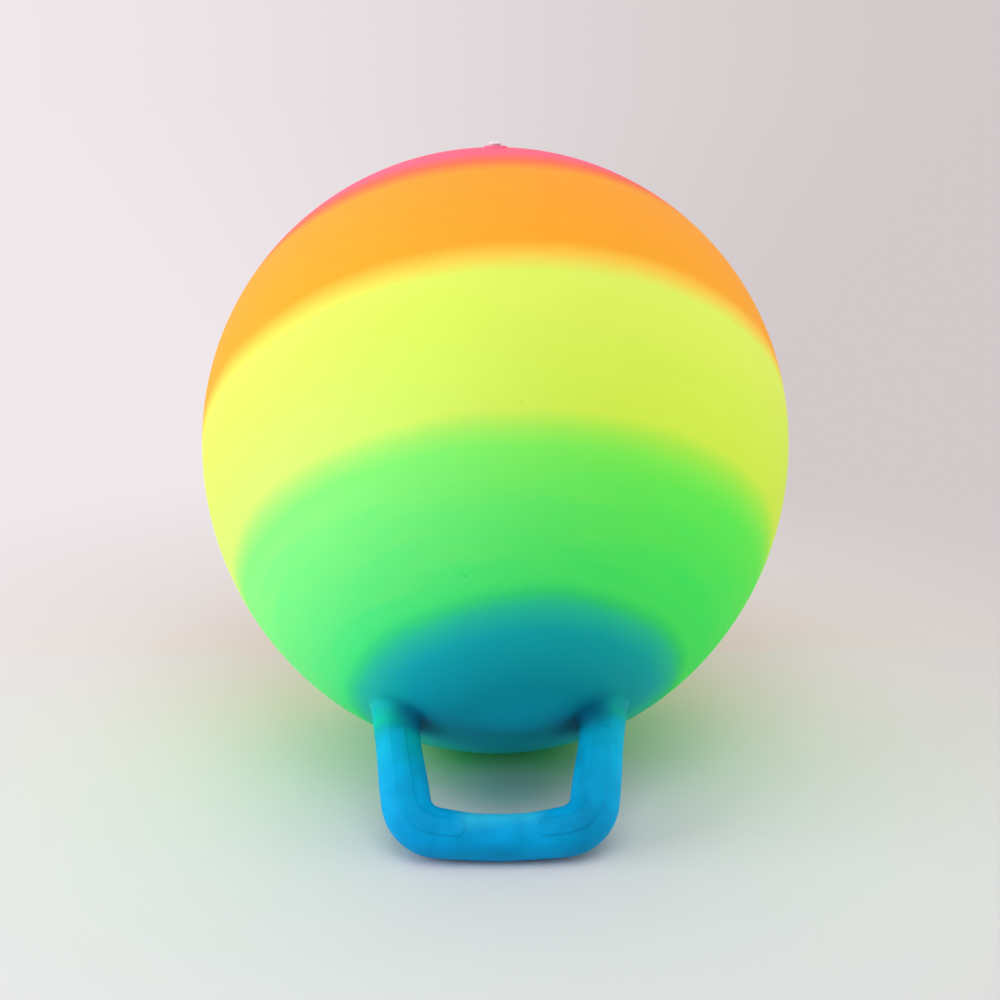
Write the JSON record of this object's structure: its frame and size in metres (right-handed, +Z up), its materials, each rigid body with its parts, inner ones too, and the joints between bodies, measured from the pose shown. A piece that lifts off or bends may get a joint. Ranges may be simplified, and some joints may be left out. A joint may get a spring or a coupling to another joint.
{
  "type": "hopper ball",
  "caption": "Inflated, slightly egg-shaped bouncing ball in soft colour bands, with a loop handle to hold while sitting on it and a push-in air plug. It rests on a small flat and its grip.",
  "frame": {"origin": "middle of the flat that the ball rests on, at floor level", "axes": "+Z up, +X to the right seen from the handle's side, the handle points to -Y and down to the floor"},
  "size_m": [0.4499, 0.4741, 0.4581],
  "materials": {
    "ball_skin": "satin soft vinyl, sprayed in blended bands of pink, orange, yellow, green and teal",
    "handle_skin": "satin soft vinyl, sprayed blue, faintly mottled",
    "seat_rubber": "satin soft vinyl",
    "plug_plastic": "smooth white plastic"
  },
  "bodies": {
    "ball": {"ball_shell": "ball_skin", "handle": "handle_skin", "valve_seat": "seat_rubber"},
    "plug": {"valve_plug": "plug_plastic"}
  },
  "joints": [
    {"name": "plug_pull", "type": "slide", "parent": "ball", "child": "plug", "axis": [0, 0, 1], "range_m": [0, 0.024]}
  ]
}
